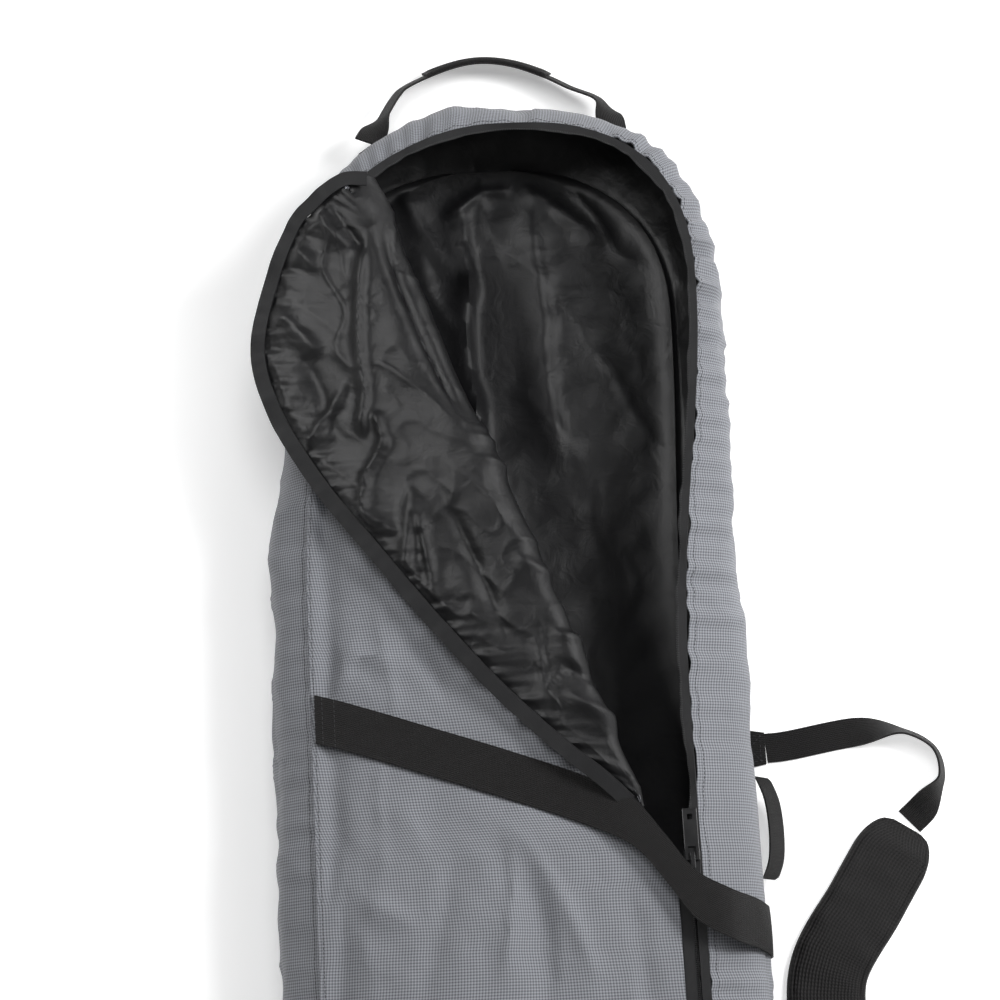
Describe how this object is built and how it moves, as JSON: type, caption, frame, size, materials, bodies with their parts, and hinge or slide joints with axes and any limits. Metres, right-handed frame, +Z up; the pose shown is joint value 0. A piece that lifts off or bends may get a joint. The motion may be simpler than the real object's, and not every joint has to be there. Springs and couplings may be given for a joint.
{
  "type": "snowboard bag",
  "caption": "Long soft snowboard bag lying on its back, zip opened at the head end and the front flap folded back, with cross straps, grab handles and a shoulder strap.",
  "frame": {"origin": "middle of the back panel's underside, which lies on the floor", "axes": "+Z up out of the front panel, +Y towards the head end, +X towards the zip's side"},
  "size_m": [0.5658, 1.844, 0.1587],
  "materials": {
    "shell": "two-tone grey check polyester",
    "lining": "glossy black nylon",
    "webbing": "black polypropylene web",
    "zip_tape": "black knitted zip tape",
    "zip_coil": "black nylon coil",
    "zip_metal": "black enamel on die-cast zinc",
    "plastic": "moulded black acetal",
    "pad": "black padded mesh cloth"
  },
  "bodies": {
    "bag": {"back_panel": "shell", "back_lining": "lining", "gusset_right": "shell", "gusset_head": "shell", "gusset_left": "shell", "gusset_tail": "shell", "gusset_lining_right": "lining", "gusset_lining_head": "lining", "gusset_lining_left": "lining", "gusset_lining_tail": "lining", "front_panel": "shell", "front_lining": "lining", "flap_fold": "lining", "zip_tape_gusset": "zip_tape", "zip_coil_gusset": "zip_coil", "zip_tape_front": "zip_tape", "zip_chain_closed": "zip_coil", "zip_stop": "zip_metal", "strap_upper": "webbing", "strap_lower": "webbing", "strap_tab_upper": "webbing", "strap_tab_lower": "webbing", "handle_anchor_head_left": "webbing", "handle_anchor_head_right": "webbing", "handle_anchor_tail_left": "webbing", "handle_anchor_tail_right": "webbing", "shoulder_anchor_upper": "webbing", "shoulder_anchor_lower": "webbing"},
    "flap": {"flap_shell": "shell", "flap_lining": "lining", "flap_zip_tape": "zip_tape", "flap_zip_coil": "zip_coil"},
    "slider": {"zip_slider": "zip_metal"},
    "pull": {"zip_pull": "zip_metal"},
    "head_handle": {"handle_head": "webbing", "handle_grip_head": "webbing"},
    "tail_handle": {"handle_tail": "webbing", "handle_grip_tail": "webbing"},
    "upper_lock": {"ladder_lock_upper": "plastic"},
    "lower_lock": {"ladder_lock_lower": "plastic"},
    "loop": {"side_loop": "webbing"},
    "shoulder": {"shoulder_web_upper": "webbing", "shoulder_pad": "pad", "shoulder_web_lower": "webbing", "shoulder_adjuster": "plastic"}
  },
  "joints": [
    {"name": "flap_fold_back", "type": "hinge", "parent": "bag", "child": "flap", "pos_m": [0.02461, 0.49516, 0.123], "axis": [-0.3173, 0.9479, 0.0283], "range_deg": [0, 190], "deforming": ["flap_fold"]},
    {"name": "zip_slide", "type": "slide", "parent": "bag", "child": "slider", "axis": [0, -1, 0], "range_m": [0, 0.8], "deforming": ["zip_chain_closed", "zip_tape_front", "zip_tape_gusset"]},
    {"name": "pull_swing", "type": "hinge", "parent": "slider", "child": "pull", "pos_m": [0.15, 0.1712, 0.1064], "axis": [1, 0, 0], "range_deg": [0, 90]},
    {"name": "head_handle_swing", "type": "hinge", "parent": "bag", "child": "head_handle", "pos_m": [0.02, 0.829, 0.043], "axis": [1, 0, 0], "range_deg": [0, 85]},
    {"name": "tail_handle_swing", "type": "hinge", "parent": "bag", "child": "tail_handle", "pos_m": [0.012, -0.829, 0.043], "axis": [-1, 0, 0], "range_deg": [0, 85]},
    {"name": "upper_lock_tilt", "type": "hinge", "parent": "bag", "child": "upper_lock", "pos_m": [0.1815, 0.114, 0.0033], "axis": [0, -1, 0], "range_deg": [0, 20]},
    {"name": "lower_lock_tilt", "type": "hinge", "parent": "bag", "child": "lower_lock", "pos_m": [0.1815, -0.506, 0.0033], "axis": [0, -1, 0], "range_deg": [0, 20]},
    {"name": "side_loop_swing", "type": "hinge", "parent": "bag", "child": "loop", "pos_m": [0.2165, 0.202, 0.037], "axis": [0, -1, 0], "range_deg": [0, 80]},
    {"name": "shoulder_strap_swing", "type": "hinge", "parent": "bag", "child": "shoulder", "pos_m": [0.2255, 0, 0.0013], "axis": [0, -1, 0], "range_deg": [0, 70]}
  ]
}
